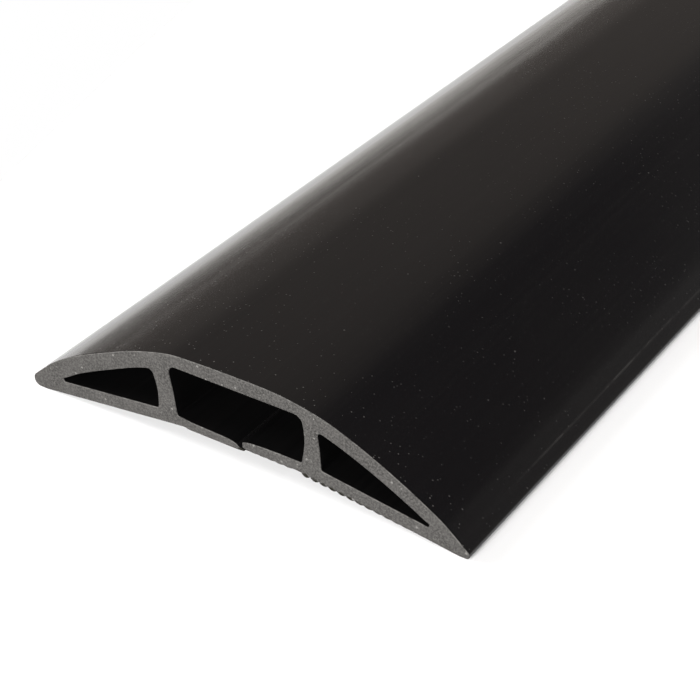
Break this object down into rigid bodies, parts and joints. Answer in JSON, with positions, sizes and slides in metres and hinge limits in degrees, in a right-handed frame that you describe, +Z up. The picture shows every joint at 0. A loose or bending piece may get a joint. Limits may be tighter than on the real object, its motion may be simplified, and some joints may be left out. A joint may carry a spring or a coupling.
{
  "type": "cable protector ramp",
  "caption": "Low arched rubber floor strip with a slit centre cable channel, closed side channels and ramped edges.",
  "frame": {"origin": "on the ground under the middle of the strip, halfway along its length", "axes": "+Y along the strip, -Y towards the front cut end, +Z up, +X towards the ribbed right-hand side"},
  "size_m": [0.1008, 1, 0.0203],
  "materials": {
    "black_rubber": "satin extruded skin, matt grey where it is cut"
  },
  "bodies": {
    "left_side": {"left_flank": "black_rubber"},
    "crown": {"crown_wall": "black_rubber"},
    "right_side": {"right_flank": "black_rubber"},
    "left_flap": {"left_floor_lip": "black_rubber"},
    "right_flap": {"right_floor_lip": "black_rubber"}
  },
  "joints": [
    {"name": "crown_bend_left", "type": "hinge", "parent": "left_side", "child": "crown", "pos_m": [-0.0139, 0, 0.01998], "axis": [0, -1, 0], "range_deg": [0, 45], "stiffness_Nm_per_rad": 3, "springref_deg": -2.29},
    {"name": "crown_bend_right", "type": "hinge", "parent": "crown", "child": "right_side", "pos_m": [0.01245, 0, 0.01971], "axis": [0, -1, 0], "range_deg": [0, 45], "stiffness_Nm_per_rad": 3, "springref_deg": -2.29},
    {"name": "left_lip_bend", "type": "hinge", "parent": "left_side", "child": "left_flap", "pos_m": [-0.0119, 0, 0.0052], "axis": [0, -1, 0], "range_deg": [-15, 45], "stiffness_Nm_per_rad": 1},
    {"name": "right_lip_bend", "type": "hinge", "parent": "right_side", "child": "right_flap", "pos_m": [0.01275, 0, 0.0057], "axis": [0, 1, 0], "range_deg": [-15, 45], "stiffness_Nm_per_rad": 1}
  ],
  "couplings": [
    {"joint": "crown_bend_right", "follows": "crown_bend_left", "ratio": 1}
  ]
}
